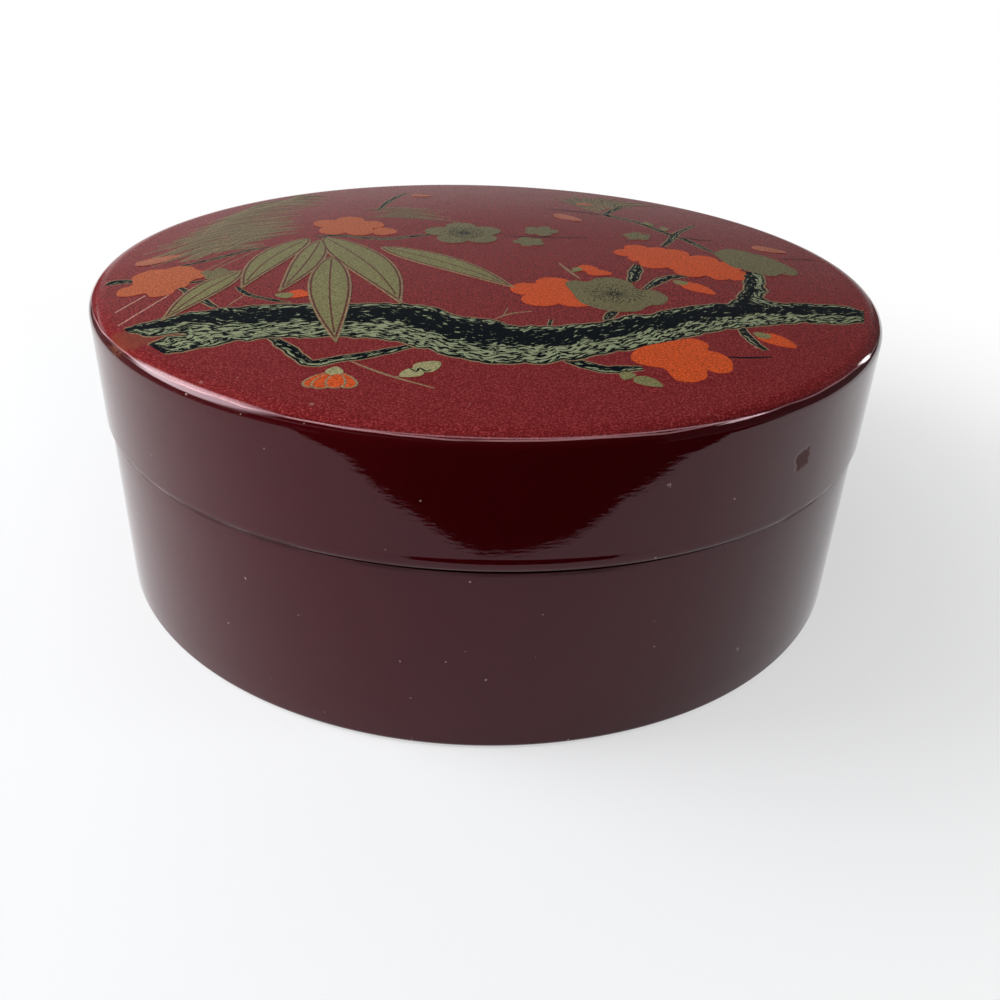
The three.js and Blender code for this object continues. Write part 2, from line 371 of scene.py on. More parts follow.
def red_lacquer(colours):
    """Urushi lacquer, brushed on in coats, then polished on the walls and rubbed to a satin on the lid's top.

    The walls give a clear deep red with a sharp reflection, whose edge the brush's orange peel makes ragged.
    The top gives a lighter red with a pigment grain and a soft sheen. Wear, dust and dirt lie over both.
    A painted highlight runs along the lid's edge, and painted shade darkens the seam.
    """
    material, tree = new_material("urushi_lacquer_red")
    place = on_object(tree)
    height = add_node(tree, "ShaderNodeSeparateXYZ", {0: place}).outputs["Z"]
    bright = ramp(tree, height, LID_TOP - RED_DEPTH, LID_TOP - RUBBED_DEPTH, smooth=True)
    rubbed = ramp(tree, height, LID_TOP - RUBBED_DEPTH, LID_TOP - SATIN_DEPTH, smooth=True)
    cloud = mottle(tree, place, per_metre(14), 3)[0]
    wave = mottle(tree, place, per_metre(9), 1)[0]
    # The pigment's grit is drawn at 0.27 mm, coarser than it is, so that it shows
    grain, stray = mottle(tree, place, per_metre(0.27), 1)

    deep = shaded(colours.wall, 0.8)
    wall = blend(tree, cloud, deep, rgba(colours.wall))
    light = rgba(2 * channel + 0.03 for channel in colours.top)
    top = blend(tree, ramp(tree, grain, 0.46, 0.82), shaded(colours.top, 0.78), light)
    red = blend(tree, bright, wall, top)

    # Specks of dust have ragged edges, and are fainter on the top
    faint = ramp(tree, rubbed, 0, 1, 0.7, 0.3)
    ragged = vectors(tree, "MULTIPLY_ADD", stray, (DUST_FRAY, DUST_FRAY, DUST_FRAY), place)[0]
    for spacing, reach, clean in DUST_SPECKS:
        cell = add_node(tree, "ShaderNodeTexVoronoi", {"Vector": ragged, "Scale": per_metre(spacing)}).outputs
        speck = ramp(tree, cell["Distance"], reach / spacing, reach / spacing / 2, high=faint)
        chance = reckon(tree, "GREATER_THAN", cell["Color"], clean)
        red = blend(tree, reckon(tree, "MULTIPLY", speck, chance), red, rgba(colours.dust))

    # The wood shines through a patch of the lid's edge
    centre = on_rim(WORN_RIM_ANGLE, LID_RADIUS - WORN_RIM_IN, LID_TOP + WORN_RIM_UP)
    worn = worn_spot(tree, place, centre, WORN_RIM_RADIUS, ragged=4 * MM, soft=1.2 * MM)
    red = blend(tree, reckon(tree, "MULTIPLY", worn, 0.4), red, shaded(colours.wood, 2))

    # The pale line along the lid's edge wanders and breaks off. Hands have worn it, and it is also a painted
    # highlight, laid where the top lamp's reflection falls
    wander = reckon(tree, "MULTIPLY_ADD", wave, WEAR_AND_HIGHLIGHT_SWAY, height)
    thread = reckon(tree, "COMPARE", wander, LID_TOP - WEAR_AND_HIGHLIGHT_DROP, WEAR_AND_HIGHLIGHT_HALF)
    kept = ramp(tree, cloud, 0.34, 0.5, high=0.55)
    red = blend(tree, reckon(tree, "MULTIPLY", thread, kept), red, rgba(colours.worn_and_highlit_edge))

    # Red lacquer still stains the wood in the chip
    chip = 0
    for turn, rise, radius in CHIP_SPOTS:
        centre = on_rim(CHIP_ANGLE + turn, LID_RADIUS, CHIP_HEIGHT + rise)
        spot = worn_spot(tree, place, centre, radius, ragged=1.2 * MM, soft=0.6 * MM)
        chip = reckon(tree, "MAXIMUM", chip, spot)
    bared = rgba(0.35 * wood + 0.65 * stain for wood, stain in zip(colours.wood, colours.wall))
    red = blend(tree, chip, red, bared)

    # Dirt that has settled in the seam, in patches, dulls the edges of lid and base. The darker red there is
    # also painted shade in the seam
    seam = reckon(tree, "COMPARE", height, LID_FOOT, DIRT_AND_SHADE_REACH)
    dirt_and_shade = reckon(tree, "MULTIPLY", seam, ramp(tree, wave, 0.4, 0.62, 0.95, 0.2))
    red = blend(tree, dirt_and_shade, red, deep)
    sheen = ramp(tree, rubbed, 0, 1, POLISHED, SATIN)
    rough = between(tree, chip, between(tree, dirt_and_shade, sheen, GRIMY), CHIPPED)

    # The brush went round the walls, so its marks are longer than they are high
    strokes = (per_metre(1.5), per_metre(1.5), per_metre(0.5))
    peel = mottle(tree, vectors(tree, "MULTIPLY", place, strokes)[0], 1, 3)[0]
    skin = between(tree, rubbed, reckon(tree, "MULTIPLY", peel, 0.5), reckon(tree, "MULTIPLY", grain, 0.6))
    fine = relief(tree, skin, 0.014 * MM)
    broad = relief(tree, wave, 0.025 * MM, over=fine)
    pit = relief(tree, chip, 0.06 * MM, over=broad, invert=True)
    surface(tree, {"Base Color": red, "Roughness": rough, "Normal": pit, **LACQUER_GLOSS})
    return material


def inside_lacquer(colours):
    """Black urushi lacquer, brushed on and left unpolished.

    A near black with a soft gloss and faint brush waves.
    """
    material, tree = new_material("urushi_lacquer_black")
    wave = mottle(tree, on_object(tree), per_metre(4), 3)[0]
    black = blend(tree, wave, rgba(colours.inside), shaded(colours.inside, 2.2))
    rough = ramp(tree, wave, 0, 1, 0.16, 0.3)
    brushed = relief(tree, wave, 0.02 * MM)
    surface(tree, {"Base Color": black, "Roughness": rough, "IOR": 1.5, "Normal": brushed})
    return material


def printed_ink(name, ink):
    """Oil ink, laid on through a fine screen.

    A flat colour that breaks up into fine grains, with a little less gloss than the lacquer under it.
    """
    material, tree = new_material(name)
    # The screen's grain is drawn at 0.32 mm, coarser than it is, so that it shows
    grain = mottle(tree, on_object(tree), per_metre(0.32), 1)[0]
    shade = blend(tree, ramp(tree, grain, 0.3, 0.7), shaded(ink, 0.55), shaded(ink, 1.45))
    raised = relief(tree, grain, 0.008 * MM)
    surface(tree, {"Base Color": shade, "Roughness": SATIN, "IOR": INK_IOR, "Normal": raised})
    return material


def bark_ink(colours):
    """Gold powder brushed dry over blue-black ink.

    A dark upper flank with a few gold flecks. Below it and along the crest is gold, broken by black strokes.
    """
    material, tree = new_material("dry_brushed_gold")
    run = add_node(tree, "ShaderNodeUVMap", uv_map="run").outputs[0]
    band = add_node(tree, "ShaderNodeUVMap", uv_map="band").outputs[0]
    from_end, across, _ = add_node(tree, "ShaderNodeSeparateXYZ", {0: band}).outputs
    drift = ramp(tree, mottle(tree, run, per_metre(5), 2)[0], 0, 1, -0.24, 0.24)
    flank = ramp(tree, reckon(tree, "ADD", across, drift), 0.4, 0.5, 0, 0.15)
    crest = ramp(tree, across, 0.86, 0.95, 0, -0.13)
    tip = ramp(tree, from_end, 0, 2.2 * MM, 0.16, 0)
    darker = reckon(tree, "ADD", reckon(tree, "ADD", flank, crest), tip)

    slant = {"Vector": run, "Angle": radians(-14)}
    slanted = add_node(tree, "ShaderNodeVectorRotate", slant, rotation_type="Z_AXIS").outputs[0]
    drawn = vectors(tree, "MULTIPLY", slanted, (per_metre(1.6), per_metre(0.56), 1))[0]
    stroke = mottle(tree, drawn, 1, 2, Roughness=0.6, Distortion=0.5)[0]
    ink = ramp(tree, reckon(tree, "ADD", stroke, darker), 0.49, 0.51)
    shade = blend(tree, ink, rgba(colours.bark_gold), rgba(colours.black))
    raised = relief(tree, ink, 0.006 * MM)
    dull = {"Roughness": SATIN, "IOR": INK_IOR, "Specular IOR Level": 0.05}
    surface(tree, {"Base Color": shade, "Normal": raised, **dull})
    return material


def seen_directly(tree):
    """1 where the eye, a reflection or a clear body looks, and 0 for light that falls on the box."""
    ray = add_node(tree, "ShaderNodeLightPath").outputs
    eye = reckon(tree, "ADD", ray["Is Camera Ray"], ray["Is Glossy Ray"])
    return reckon(tree, "ADD", eye, ray["Is Transmission Ray"], use_clamp=True)


def floor_paper(studio):
    """Uncoated white paper, rolled flat.

    A matt white that takes the box's shadow and burns out further off.
    """
    material, tree = new_material("white_paper_matt")
    place = on_object(tree)
    fibre = relief(tree, mottle(tree, place, per_metre(0.8), 2)[0], 0.01 * MM)
    matt = {"Base Color": rgba(studio.floor), "Roughness": 0.9, "Specular IOR Level": 0.1, "Normal": fibre}
    paper = add_node(tree, "ShaderNodeBsdfPrincipled", matt).outputs[0]
    glow = add_node(tree, "ShaderNodeEmission", {"Color": (1, 1, 1, 1), "Strength": 1}).outputs[0]
    away = vectors(tree, "LENGTH", place)["Value"]
    lift = ramp(tree, away, WHITE_START, WHITE_END, studio.floor_white, 1, smooth=True)
    share = reckon(tree, "MULTIPLY", seen_directly(tree), lift)
    both = add_node(tree, "ShaderNodeMixShader", {0: share, 1: paper, 2: glow})
    add_node(tree, "ShaderNodeOutputMaterial", {"Surface": both.outputs[0]})
    return material


def flag_cloth(name, shade):
    """Napped cloth on a studio flag: it gives back little light, with no gloss."""
    material, tree = new_material(name)
    surface(tree, {"Base Color": (shade, shade, shade, 1), "Roughness": 1, "Specular IOR Level": 0})
    return material


# Turned skins


def arc(corner_radius, corner_height, width, height, first):
    """A corner eased to a quarter of an ellipse, from a first direction in degrees, clockwise."""
    middle = radians(first - 45)
    centre_radius = corner_radius - width * (1 if cos(middle) > 0 else -1)
    centre_height = corner_height - height * (1 if sin(middle) > 0 else -1)
    angles = [radians(first - 90 * step / EDGE_STEPS) for step in range(EDGE_STEPS + 1)]
    return [(centre_radius + width * cos(a), centre_height + height * sin(a)) for a in angles]


def upright(radius, start, end):
    """Points straight up or down a wall."""
    return [(radius, start + (end - start) * step / WALL_STEPS) for step in range(1, WALL_STEPS)]


def near(angle, centre, width):
    """1 at a centre in degrees, and less up to a width on both sides."""
    return max(0, 1 - abs(degrees(angle) - centre) / width)


def at_front(angle):
    """1 where the lid's lower edge has warped most, and softly less to both sides."""
    front = near(angle, GAP_ANGLE, GAP_WIDTH)
    return front * front * (3 - 2 * front)


def hand_made(angle, radius, height):
    """How far a wall leaves the true circle there.

    Slow waves, a low ridge over the lapped ends, and a swell of the lid's lower edge where that has warped.
    """
    if radius < NECK_RADIUS:
        return 0
    wave = noise.noise(Vector((2 * cos(angle), 2 * sin(angle), 30 * height)))
    ridge = near(angle, LAP_ANGLE, LAP_WIDTH) if height > LID_FOOT else 0
    lip = LID_FOOT <= height <= LID_FOOT + SWELL_FOOT
    swell = settings()[0].swell * at_front(angle) if lip else 0
    return WAVE_DEPTH * wave + RIDGE_DEPTH * ridge + swell


def seam_gap(angle, height):
    """How far the lid's lower edge has warped up there: most at the front, and in ripples by the lap."""
    if height > LID_FOOT + GAP_FADE:
        return 0
    ripple = (1 + sin(degrees(angle) * 1.4)) / 2  # one about every 4.5 degrees
    by_lap = GAP_LAP * near(angle, LAP_ANGLE, LAP_WIDTH) * ripple
    return MM * (GAP_ROUND + GAP_FRONT * at_front(angle) + by_lap)


def turned(name, sections, materials, warped=False, lift=None):
    """A closed skin turned about the box's axis.

    A section is a finish and the points that it reaches from the last section's end.
    A profile that starts on the axis ends there; any other closes on itself.
    A lift gives how far a point at an angle and a height is raised.
    """
    mesh = bmesh.new()
    profile = [(point, finish) for finish, points in sections for point in points]
    closed = profile[0][0][0] > 0
    rings = []
    for (radius, height), _ in profile:
        if radius == 0:
            rings.append([mesh.verts.new((0, 0, height))] * ROUND_SEGMENTS)
            continue
        ring = []
        for step in range(ROUND_SEGMENTS):
            angle = 2 * pi * step / ROUND_SEGMENTS - pi
            reach = radius + (hand_made(angle, radius, height) if warped else 0)
            raised = lift(angle, height) if lift else 0
            ring.append(mesh.verts.new((reach * cos(angle), reach * sin(angle), height + raised)))
        rings.append(ring)
    pairs = list(zip(rings, rings[1:], (finish for _, finish in profile[1:])))
    if closed:
        pairs.append((rings[-1], rings[0], profile[0][1]))
    for upper, lower, finish in pairs:
        for step in range(ROUND_SEGMENTS):
            after = (step + 1) % ROUND_SEGMENTS
            corners = dict.fromkeys((upper[step], lower[step], lower[after], upper[after]))
            mesh.faces.new(corners).material_index = finish
    bmesh.ops.recalc_face_normals(mesh, faces=mesh.faces)
    return finished(name, mesh, materials)


def finished(name, mesh, materials, smooth=True):
    """Makes the object of a mesh and gives it its materials."""
    data = bpy.data.meshes.new(name)
    mesh.to_mesh(data)
    mesh.free()
    for material in materials:
        data.materials.append(material)
    if smooth:
        data.shade_smooth()
        data.set_sharp_from_angle(angle=SHARP_ANGLE)
    piece = bpy.data.objects.new(name, data)
    bpy.context.scene.collection.objects.link(piece)
    return piece


def lacquers(colours):
    """The red and the black lacquer, each made once."""
    red = shared("urushi_lacquer_red", red_lacquer, colours)
    black = shared("urushi_lacquer_black", inside_lacquer, colours)
    return [red, black]


class TRINKET_OT_lid(bpy.types.Operator):
    """Make the lid's lacquer skin"""

    bl_idname = "trinket.lid"
    bl_label = "Lid"

    def execute(self, context):
        sizes, colours, _ = settings()
        inner = LID_RADIUS - sizes.lid_wall
        flat = LID_RADIUS - sizes.roll_width
        edge = LID_RADIUS - sizes.seam_width
        red, black = range(2)
        top = [(0, LID_TOP), (flat / 2, LID_TOP), (flat, LID_TOP)]
        roll = arc(LID_RADIUS, LID_TOP, sizes.roll_width, sizes.roll_drop, 90)
        rows = (SWELL_TOP + SWELL_BLEND, SWELL_TOP, SWELL_FOOT, SWELL_FOOT - SWELL_BLEND)
        swell = [(LID_RADIUS, LID_FOOT + row) for row in rows]
        wall = upright(LID_RADIUS, LID_TOP - sizes.roll_drop, swell[0][1]) + swell
        seam = arc(LID_RADIUS, LID_FOOT, sizes.seam_width, sizes.seam_rise, 0)
        lip = [(edge - LIP_ROW, LID_FOOT), (inner + sizes.lead_in, LID_FOOT)]
        inside = [(inner, LID_FOOT + sizes.lead_in), (inner, LID_CEILING), (0, LID_CEILING)]
        sections = [(red, top + roll[1:] + wall + seam + lip), (black, inside)]
        lid = turned("lid_skin", sections, lacquers(colours), warped=True, lift=seam_gap)
        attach(lid, "lid")
        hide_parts("lid_board", "lid_hoop", *LID_PEGS)
        return {"FINISHED"}


class TRINKET_OT_base(bpy.types.Operator):
    """Make the base's lacquer skin"""

    bl_idname = "trinket.base"
    bl_label = "Base"

    def execute(self, context):
        sizes, colours, _ = settings()
        inner = BASE_RADIUS - sizes.base_wall
        red, black = range(2)
        inside = [(0, FLOOR_TOP), (inner, FLOOR_TOP), (inner, BASE_RIM)]
        rim = arc(BASE_RADIUS, BASE_RIM, sizes.rim_round, sizes.rim_round, 90)
        wall = upright(BASE_RADIUS, BASE_RIM - sizes.rim_round, sizes.foot_round)
        foot = arc(BASE_RADIUS, 0, sizes.foot_round, sizes.foot_round, 0)
        under = [(inner + sizes.rim_round, 0), (inner, sizes.rim_round)]
        under += [(inner, FLOOR_UNDERSIDE), (0, FLOOR_UNDERSIDE)]
        sections = [(black, inside), (red, rim + wall + foot), (black, under)]
        base = turned("base_skin", sections, lacquers(colours), warped=True)
        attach(base, "base")
        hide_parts("base_hoop", "floor_board", *FLOOR_PEGS)
        return {"FINISHED"}


class TRINKET_OT_neck(bpy.types.Operator):
    """Make the neck that guides the lid"""

    bl_idname = "trinket.neck"
    bl_label = "Neck"

    def execute(self, context):
        sizes, colours, _ = settings()
        inner = NECK_RADIUS - sizes.neck_wall
        lip = arc(inner, NECK_TOP, sizes.neck_round, sizes.neck_round, 180)
        lip += arc(NECK_RADIUS, NECK_TOP, sizes.neck_round, sizes.neck_round, 90)
        wall = lip + [(NECK_RADIUS, NECK_FOOT), (inner, NECK_FOOT)]
        neck = turned("neck_skin", [(0, wall)], lacquers(colours)[1:])
        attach(neck, "base")
        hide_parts("neck_hoop")
        return {"FINISHED"}


# Painted lid. Places are in millimetres on the lid's top: x to the right, y away from the front.
# Layers of paint lie on each other in this order
PINE_LAYER = 1
TWIG_LAYER = 2
BRANCH_LAYER = 5
VERMILION_LAYER = 8
GOLD_LAYER = 11
LEAF_LAYER = 13
SHAPE_RISE = 0.008  # of a layer, by which each shape lies above the last, so that two never share a level

# Fineness of the painted shapes
STROKE_STEP = 0.5  # between the points of a painted edge
LEAST_HALF = 0.05  # half the width of the thinnest stroke
EDGE_WANDER = 2.2  # length over which an edge drawn by hand strays
PETALS = 5
PETAL_STEPS = 14
BUD_STEPS = 24

# Fine parts of the figures
BROWN_LINE = 0.32  # width of the brown line inside a leaf's pale one
RIB_HALF = 0.13
RIB_START = 3  # points of a leaf's middle line before its rib starts, and after it ends
RIB_END = 8
CREASE_HALF = 0.16
THREADS = 18  # of the stamens in a blossom, with dots round them
THREAD_HALF = 0.09
DOTS = 56
DOT_LENGTH = 0.46
DOT_WIDTH = 0.3
DOT_TURN = 2.4  # radians from one dot to the next, which spreads them evenly
NEEDLE_BOW = Vector((-1.4, 1.8))  # how far the middle of a needle bows out
NEEDLE_STRAY = Vector((0.5, 0.9))  # and how far that differs between needles
NEEDLE_HALF = 0.56
NEEDLE_RIDGE = 0.1  # half the width of the pale line along it

# The inks, by the colour that each takes
INKS = {
    "pale": "pale_line_ink",
    "light": "light_line_ink",
    "brown": "brown_line_ink",
    "black": "black_line_ink",
    "gold": "gold_powder_ink",
    "worn_gold": "worn_gold_ink",
    "fresh_gold": "fresh_gold_ink",
    "vermilion": "vermilion_ink",
    "faded_vermilion": "faded_vermilion_ink",
    "rose": "rose_vermilion_ink",
    "pine": "pine_ink",
}

# The branch, its fork and the limb that rises from it: places on the left edge and the right edge
BRANCH = (
    ((-50, -34.2), (-49.4, -35)),
    ((-47.4, -30.6), (-46, -36.6)),
    ((-41.5, -25.8), (-42, -35)),
    ((-34.6, -22.6), (-36, -36.5)),
    ((-26.5, -21), (-28, -35.2)),
    ((-19.6, -20.2), (-20, -34.1)),
    ((-13, -19.6), (-13, -34.8)),
    ((-7.4, -21.6), (-9, -37.2)),
    ((-4, -24.4), (-4.7, -39.8)),
    ((-0.5, -25), (-0.5, -41.8)),
    ((4, -27.2), (5, -41.4)),
    ((9.5, -27), (11, -40)),
    ((15.3, -25.2), (17, -36.6)),
    ((20, -22), (23, -33.6)),
    ((25, -20), (28, -29.8)),
    ((29.4, -16.8), (33.4, -26.6)),
    ((37.7, -14), (40.5, -23.4)),
    ((46, -13), (48, -21.8)),
    ((55, -13.2), (54, -21.6)),
    ((58.4, -15.2), (56.8, -20.6)),
)
FORK = (
    ((-45.2, -39.4), (-42, -42.6)),
    ((-43.6, -37), (-39, -41)),
    ((-39, -34), (-35, -38)),
    ((-33, -31), (-31, -35.8)),
)
RISER = (
    ((36.6, -15), (46.5, -16)),
    ((39, -11.5), (43.9, -11.5)),
    ((41.4, -6.8), (45, -6.6)),
    ((42.4, -3), (45.5, -2.5)),
    ((42.8, 3), (46, 3)),
)

# Twigs: half the width, then the points that they pass
TWIGS = (
    (0.95, ((-30, -35), (-27.2, -38.4), (-24.2, -42.6), (-22.6, -44), (-19, -42), (-15, -40), (-9.5, -36))),
    (1.1, ((9.5, -39), (12.6, -41), (15.5, -42.6), (18, -42.2), (20.6, -41.8))),
    (0.6, ((37.2, -23.4), (37.4, -27.8), (38, -31.4), (38.9, -33.7))),
    (1.1, ((25.4, 5), (24.4, 0), (23.3, -4.8))),
    (0.85, ((34, 0), (30, -1.6), (27.6, -4.4), (25, -8.4))),
    (0.7, ((-47.4, -15.8), (-45.4, -18), (-43.2, -20.6), (-40, -24))),
    (0.45, ((-47.8, -13.8), (-45, -12.5), (-42, -12))),
    (0.4, ((-39, -14.4), (-36.6, -17.8), (-33.2, -19.6), (-29.5, -21))),
    (0.4, ((-50.3, -5), (-44.9, 1), (-41, 6), (-38, 7.4))),
    (0.5, ((-31.5, 15), (-28, 16.4), (-19, 15.4), (-14, 18), (-10, 20))),
    (0.55, ((31.4, 17), (33.2, 20.6), (34.5, 24), (36.3, 27.6), (40.1, 33))),
    (0.55, ((35, 24), (32.5, 28), (28.6, 34), (23.4, 38.2), (23.3, 39.8), (25, 42.6), (27.2, 46.8))),
    (0.5, ((35, 24), (36.9, 21.5), (38.5, 17.7), (40.8, 13.5))),
    (0.75, ((17.4, -24), (18.4, -21), (19.8, -18.4))),
    (0.5, ((-22.6, 36), (-21, 44), (-18.4, 51))),
    (0.9, ((-58.6, -15.8), (-57.4, -14.2), (-54, -13))),
    (0.35, ((44, -9.6), (45.6, -6.2))),
    (0.4, ((8.8, -27), (9.2, -24.2))),
    (0.4, ((-5.2, -25), (-6.4, -22.2))),
)

# Fine lines with no bark: half the width, then the points that they pass
LIGHT_LINES = (
    (0.2, ((-51.5, -20), (-53.4, -27.8))),
    (0.2, ((-48.2, -19.4), (-51.3, -33))),
)
FINE_LINES = (
    (0.2, ((-37.1, -18), (-38.4, -23))),
    (0.2, ((-18, -42.6), (-14.7, -45.4), (-11.4, -47.7), (-6.4, -50.6))),
    (0.2, ((-11.7, -47.6), (-10, -46.6))),
    (0.2, ((-15.6, -15.6), (-13.2, -19.6))),
    (0.2, ((-13.5, -15.4), (-13.1, -19.6))),
    (0.3, ((11.8, 4.4), (13.3, 0), (14.9, -4))),
    (0.2, ((0.8, -25), (3.2, -22.3), (6.5, -20.8))),
    (0.15, ((2.2, -23), (2.9, -19.7))),
    (0.2, ((-43, 2), (-46.5, -9))),
    (0.2, ((-40, 6), (-44.5, -6))),
)
DARK_LINES = (
    (0.3, ((2.5, 20.2), (10, 20.6), (17.9, 21.2))),
    (0.22, ((51.5, 11.8), (55.5, 12), (58, 11.6))),
    (0.25, ((36.4, 23.7), (38.5, 22.6), (41.5, 22.1))),
    (0.3, ((11.5, 42), (17.9, 40.5), (23, 38.4))),
    (0.3, ((32.4, -36.8), (35.9, -36.7), (39.2, -36.1))),
)

# Bamboo leaves: stalk end, tip, width, and how far the middle bows to the left
LEAVES = (
    ((-32.6, 14), (-38.2, -15.4), 6, -1.8),
    ((-30.4, 13.4), (-32.3, -16.4), 5.2, 0.6),
    ((-30, 15), (-13.3, -19.2), 8.4, 2),
    ((-27, 3.4), (-20.6, -36.6), 6.8, -0.6),
    ((-19.4, 10.2), (4.2, -10.2), 6.6, 1.6),
    ((-40, -6), (-46, -30.8), 4.8, -0.8),
)

# Plum blossoms: x, y, radius, and the direction of one petal in degrees
ORANGE_PLUMS = (
    (10.6, -11.6, 7.6, 92),
    (27.4, 12.2, 5.4, 108),
    (31.8, 8.6, 6.9, 75),
    (37, 5, 7, 84),
    (40, 1.4, 3.8, 20),
)
# A blossom behind in the vermilion with a painted reflection sheen
SHEENED_PLUMS = ((-26.8, 23.2, 6.8, 92),)
GOLD_PLUMS = (
    (-5, 21.2, 7.4, 100),
    (9.4, 24.6, 3.4, 70),
    (7, 17, 3, 40),
    (27.6, 23.4, 2.8, 90),
    (-43.2, -8.4, 3, 100),
)

# Blossoms that turn aside, with petals of unlike size: places round their edge
ORANGE_OUTLINES = (
    (
        (19.5, -37.6), (21.1, -34.4), (24.2, -32.4), (27.3, -30.8), (29.5, -30.2), (31, -32.2), (30.6, -34.6),
        (32, -35.4), (33.1, -38), (32.5, -41.6), (30.7, -42.7), (29.2, -41.8), (28.6, -44.4), (26.5, -46),
        (24.4, -45.2), (23.6, -41.8), (21.7, -41), (19.9, -39.8),
    ),
)
# The left blossom takes the vermilion with a painted reflection sheen
SHEENED_OUTLINES = (
    (
        (-55.6, -20.4), (-56, -17.4), (-54.8, -15.4), (-56, -11.6), (-54.6, -8), (-52.4, -7),
        (-50.8, -5.2), (-48.4, -5.2), (-47.4, -6.6), (-45.6, -7.6), (-45.2, -10), (-46.6, -12.2),
        (-46.6, -15), (-47.8, -16.4), (-48, -19), (-50.4, -20.6), (-51.8, -19), (-53.6, -20.6),
    ),
)
GOLD_OUTLINES = (
    (
        (12.3, -6.6), (14, -5.2), (16, -5.6), (17.6, -3.6), (20.4, -3), (23, -5), (23.9, -8.6), (26.6, -9),
        (28.2, -12.4), (26.9, -15.6), (24.6, -16.6), (23, -19), (20.4, -19.8), (18, -19.4), (15.8, -17.8),
        (14.1, -16), (13.2, -11.8),
    ),
    (
        (40.6, 11.4), (40.6, 14), (43.3, 16.8), (46.4, 15.8), (47.4, 14.4), (49.3, 13), (51.2, 9.8),
        (53, 4.8), (52, 1.8), (50, 2.6), (48.4, 1.2), (46.1, 2), (43.9, 4.2), (41.9, 6),
    ),
)
STAMENS = ((19.8, -11.4, 8), (-5, 21.2, 6.4))  # x, y and radius of the blossoms that show them

# Buds: x, y, length, width, and the direction of the tip in degrees
ORANGE_BUDS = (
    (16.4, 2, 3.6, 3.6, 100),
    (18.4, -0.4, 4.4, 3.2, 350),
    (34, -7, 7, 3.4, 308),
    (41.4, -29.8, 6.6, 3.6, 308),
    (-29.2, -16.8, 3.4, 3.8, 340),
)
# A bud behind in the vermilion with a painted reflection sheen
SHEENED_BUDS = ((-19.6, 20.4, 4.6, 4.8, 0),)
# Buds behind and at the sides, in vermilion with a painted reflection sheen
ROSY_BUDS = (
    (15.2, 35.4, 7, 3, 318),
    (19.4, 46.8, 3.8, 2, 345),
    (51.2, 17.4, 6.6, 2.8, 330),
    (-54.8, -2.2, 8.4, 2.8, 50),
    (-15, 49.4, 4.6, 2.2, 355),
)
GOLD_BUDS = (
    (-7.6, -43.6, 4.2, 3.2, 50),
    (-9.7, -46.2, 3.4, 2.6, 220),
)
CALYXES = (
    (18.2, -44.6, 2.8, 2, 250),
    (20.8, -46.4, 4.2, 2.6, 320),
    (31.4, -4.2, 2.8, 2, 130),
    (39.6, -27.8, 2.8, 2.2, 130),
    (-31.2, -17.6, 2.8, 2.4, 170),
    (14.6, 0.8, 2.8, 1.6, 240),
    (30.8, 32.9, 3, 1.4, 120),
    (33.5, 29.6, 3, 1.4, 100),
)
OPENING_BUD = (  # petals of one bud, each over the last
    (-21.2, -49.3, 4.4, 2, 70),
    (-17.6, -49.2, 4.4, 2, 110),
    (-20.3, -49.6, 4.4, 2, 82),
    (-18.8, -49.3, 4.4, 2, 94),
)
OPENING_CALYX = (-19.4, -46.2, 2.6, 2.2, 90)
CREASE = ((-10, -44.6), (-9, -45.6), (-8.7, -44.4), (-7.8, -45.4), (-7.2, -44.8))  # between two buds

# Pine needles: places along the root of a tuft, places along its tips, and the needles between
PINE_TUFTS = (
    (
        ((-39.5, 8), (-38.2, 19), (-36.1, 30), (-35.9, 39), (-38, 45)),
        ((-50, -2.6), (-56.4, -6.6), (-58.4, -1), (-56.4, 11), (-51, 26)),
        38,
    ),
    (((-35.4, 17.5), (-34.6, 22.3), (-36, 27)), ((-46.4, 2), (-49, 5), (-51, 13)), 12),
    (((-33, 38), (-33, 47)), ((-48.4, 31), (-43, 40)), 10),
    (((-24, 30), (-26, 36)), ((-6, 29), (-8, 37)), 6),
    (((22, 39), (23.5, 42.6), (26.4, 44)), ((13, 52), (17, 55.4), (23, 54.4), (30, 51), (36, 47)), 24),
)


def inks(colours, *names):
    """The inks of those colours, each made once."""
    return [shared(INKS[name], printed_ink, INKS[name], getattr(colours, name)) for name in names]


def curve(knots):
    """Points of a smooth curve from the second knot up to the last but one.

    A knot may hold more values after its place, and they change as smoothly.
    """
    points = []
    for a, b, c, d in zip(knots, knots[1:], knots[2:], knots[3:]):
        steps = max(2, ceil((c - b).xy.length / STROKE_STEP))
        for step in range(steps):
            t = step / steps
            pull = (c - a) * t + (2 * a - 5 * b + 4 * c - d) * t**2 + (3 * b - a - 3 * c + d) * t**3
            points.append(b + pull / 2)
    return points


def smooth_path(knots):
    """Points of a curve that runs through the knots."""
    knots = [Vector(knot) for knot in knots]
    return [*curve([2 * knots[0] - knots[1], *knots, 2 * knots[-1] - knots[-2]]), knots[-1]]


def closed_path(knots):
    """Points of a curve that runs round through the knots."""
    knots = [Vector(knot) for knot in knots]
    return curve([knots[-1], *knots, knots[0], knots[1]])


def along(path, share):
    """The point at a share of a path's points, held between its ends."""
    spot = min(1, max(0, share)) * (len(path) - 1)
    first = min(int(spot), len(path) - 2)
    return path[first].lerp(path[first + 1], spot - first)


def edges_of(points):
    """The left and right edge of a stroke, from points of its middle line with half the width."""
    places = [Vector(point[:2]) for point in points]
    edges = []
    for i, place in enumerate(places):
        ahead = (places[min(i + 1, len(places) - 1)] - places[max(i - 1, 0)]).normalized()
        side = Vector((-ahead.y, ahead.x)) * points[i][2]
        edges.append((place + side, place - side))
    return edges


